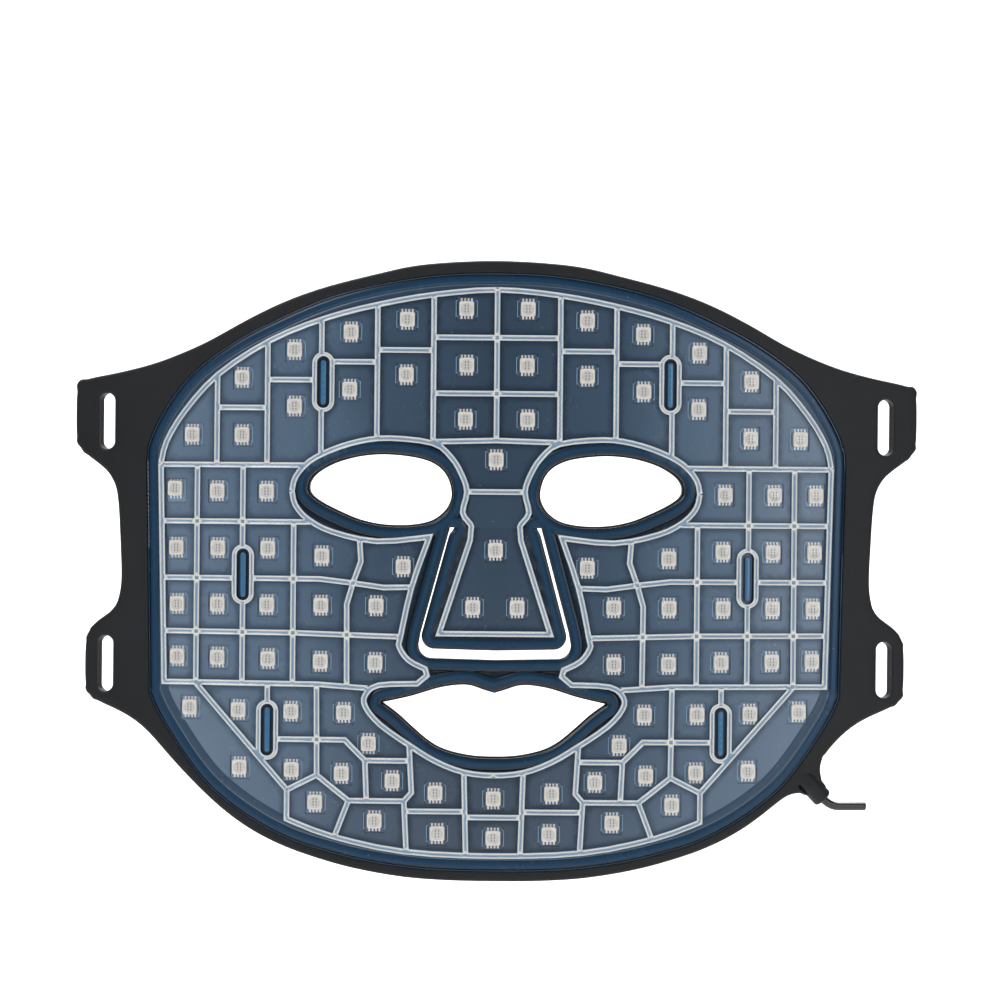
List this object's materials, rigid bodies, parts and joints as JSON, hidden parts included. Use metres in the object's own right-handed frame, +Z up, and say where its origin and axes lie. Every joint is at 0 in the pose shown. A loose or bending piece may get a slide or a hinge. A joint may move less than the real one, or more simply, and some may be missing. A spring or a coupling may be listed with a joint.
{
  "type": "led face mask",
  "caption": "Flexible light therapy face mask: black silicone shell with strap ears, blue liner with ribbed cells of LEDs, hinged nose flap and a side cable.",
  "frame": {"origin": "Bottom centre of the mask's box: the chin's lowest point is at z = 0 and the mask is centred on x = 0.", "axes": "+Z points up the face as worn, +X to the side with the cable, and the LED side faces -Y."},
  "size_m": [0.2872, 0.0268, 0.2098],
  "materials": {
    "black_silicone": "matte moulded silicone",
    "sealant": "glossy cured silicone sealant",
    "blue_silicone": "glossy translucent blue silicone",
    "clear_silicone": "glossy clear silicone",
    "flex_circuit": "polyimide flex circuit",
    "led_package": "ivory moulded LED package",
    "led_lens": "cast clear resin over the LED dies",
    "tinned_metal": "tinned LED leads",
    "resistor": "chip resistor",
    "solder": "solder",
    "potting": "set potting compound",
    "cable_black": "glossy cable jacket",
    "core_red": "red core insulation",
    "core_black": "black core insulation"
  },
  "bodies": {
    "mask_body": {"outer_shell": "black_silicone", "edge_sealant": "sealant", "face_liner": "blue_silicone", "cell_grid": "clear_silicone", "led_board": "flex_circuit", "bond_studs": "blue_silicone", "led_bodies": "led_package", "led_lenses": "led_lens", "led_leads": "tinned_metal", "current_resistors": "resistor", "solder_joints": "solder", "wire_potting": "potting", "cable_grommet": "cable_black", "cable_jacket": "cable_black", "cable_core_red": "core_red", "cable_core_black": "core_black"},
    "nose_flap": {"nose_flap_shell": "black_silicone", "nose_flap_liner": "blue_silicone", "nose_cell_grid": "clear_silicone", "nose_flap_board": "flex_circuit", "nose_led_bodies": "led_package", "nose_led_lenses": "led_lens", "nose_led_leads": "tinned_metal"},
    "upper_left_ear": {"strap_ear_upper_left": "black_silicone"},
    "upper_right_ear": {"strap_ear_upper_right": "black_silicone"},
    "lower_left_ear": {"strap_ear_lower_left": "black_silicone"},
    "lower_right_ear": {"strap_ear_lower_right": "black_silicone"},
    "cable_tail": {"tail_jacket": "cable_black", "tail_core_red": "core_red", "tail_core_black": "core_black"}
  },
  "joints": [
    {"name": "nose_flap_bend", "type": "hinge", "parent": "mask_body", "child": "nose_flap", "pos_m": [0, -0.01007, 0.119], "axis": [1, 0, 0], "range_deg": [-10, 35], "stiffness_Nm_per_rad": 0.02},
    {"name": "upper_left_ear_bend", "type": "hinge", "parent": "mask_body", "child": "upper_left_ear", "pos_m": [-0.1289, 0.00587, 0.151], "axis": [0, 0, -1], "range_deg": [-30, 30], "stiffness_Nm_per_rad": 0.05},
    {"name": "upper_right_ear_bend", "type": "hinge", "parent": "mask_body", "child": "upper_right_ear", "pos_m": [0.1289, 0.00587, 0.151], "axis": [0, 0, 1], "range_deg": [-30, 30], "stiffness_Nm_per_rad": 0.05},
    {"name": "lower_left_ear_bend", "type": "hinge", "parent": "mask_body", "child": "lower_left_ear", "pos_m": [-0.1289, 0.00587, 0.074], "axis": [0, 0, -1], "range_deg": [-30, 30], "stiffness_Nm_per_rad": 0.05},
    {"name": "lower_right_ear_bend", "type": "hinge", "parent": "mask_body", "child": "lower_right_ear", "pos_m": [0.1289, 0.00587, 0.074], "axis": [0, 0, 1], "range_deg": [-30, 30], "stiffness_Nm_per_rad": 0.05},
    {"name": "cable_swing", "type": "hinge", "parent": "mask_body", "child": "cable_tail", "pos_m": [0.11264, 0.00101, 0.02782], "axis": [-0.2437, 0.9698, 0], "range_deg": [-25, 25], "stiffness_Nm_per_rad": 0.005}
  ]
}
